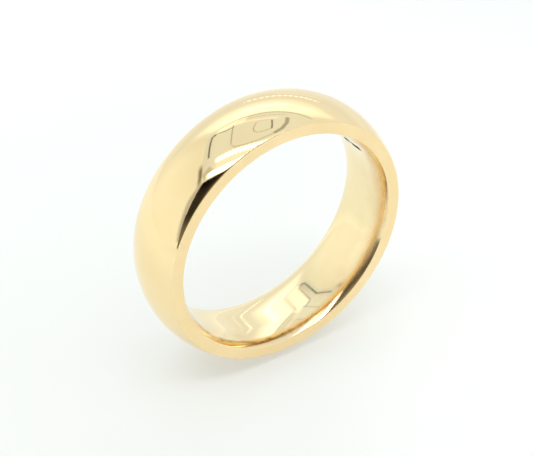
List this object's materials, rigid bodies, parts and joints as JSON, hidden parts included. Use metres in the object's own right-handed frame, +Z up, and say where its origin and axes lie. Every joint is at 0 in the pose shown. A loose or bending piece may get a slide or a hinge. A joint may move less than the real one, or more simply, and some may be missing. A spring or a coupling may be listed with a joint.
{
  "type": "wedding band",
  "caption": "Plain one-piece finger ring of yellow gold with a domed polished outside, narrow flat sides and a comfort-fit inside.",
  "frame": {"origin": "middle of the finger hole, half way along its length", "axes": "+Y along the finger axis, +Z up with the band standing on its rim, +X across the band"},
  "size_m": [0.0234, 0.006, 0.0234],
  "materials": {
    "yellow_gold": "mirror-polished yellow gold, satin on the flat sides"
  },
  "bodies": {
    "root": {"band": "yellow_gold"}
  },
  "joints": []
}
